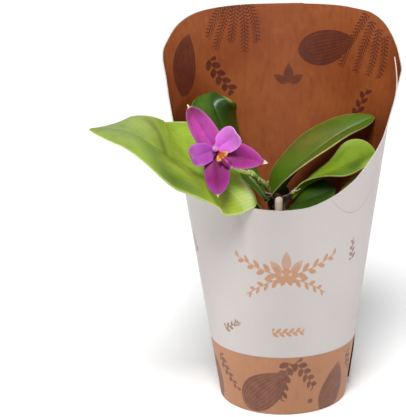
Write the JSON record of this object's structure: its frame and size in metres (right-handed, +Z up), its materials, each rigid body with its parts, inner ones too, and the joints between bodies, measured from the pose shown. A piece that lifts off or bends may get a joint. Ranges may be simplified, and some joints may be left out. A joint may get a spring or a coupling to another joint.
{
  "type": "phalaenopsis violacea in paperboard sleeve",
  "caption": "Small moth orchid with a star-shaped magenta bloom and broad wavy leaves, in a clear nursery pot inside a tall flared paperboard sleeve with a low front.",
  "frame": {"origin": "centre of the pot's flat underside, on the table, under the middle of the sleeve's lower edge", "axes": "+Z up; -Y towards the viewer, where the sleeve's rim is lowest; +X to the viewer's right"},
  "size_m": [0.2086, 0.1853, 0.2742],
  "materials": {
    "sleeve_board": "printed board, white panel over a terracotta foot outside, red-brown inside",
    "pot_plastic": "clear pot, slightly milky",
    "bark": "dry rough bark chips",
    "stem": "dry fibrous leaf sheaths",
    "root": "pale velvety root skin",
    "leaf": "smooth, slightly waxy leaf",
    "sepal": "waxy magenta petal tissue",
    "petal": "waxy orchid-pink petal tissue",
    "stalk": "smooth green stalk",
    "column": "waxy pale pink tissue",
    "lip": "waxy orange and magenta tissue"
  },
  "bodies": {
    "root": {"sleeve": "sleeve_board", "nursery_pot": "pot_plastic", "potting_bark": "bark", "stem": "stem", "aerial_root_1": "root", "aerial_root_2": "root", "aerial_root_3": "root", "aerial_root_4": "root", "leaf_left_front": "leaf", "leaf_left_back": "leaf", "leaf_right_back": "leaf", "leaf_right_twisted": "leaf", "leaf_right_low": "leaf", "leaf_right_lowest": "leaf", "flower_spike": "stalk", "pedicel": "stalk", "sepal_dorsal": "sepal", "sepal_lateral_right": "sepal", "sepal_lateral_left": "sepal", "petal_right": "petal", "petal_left": "petal", "column": "column", "lip": "lip"}
  },
  "joints": []
}
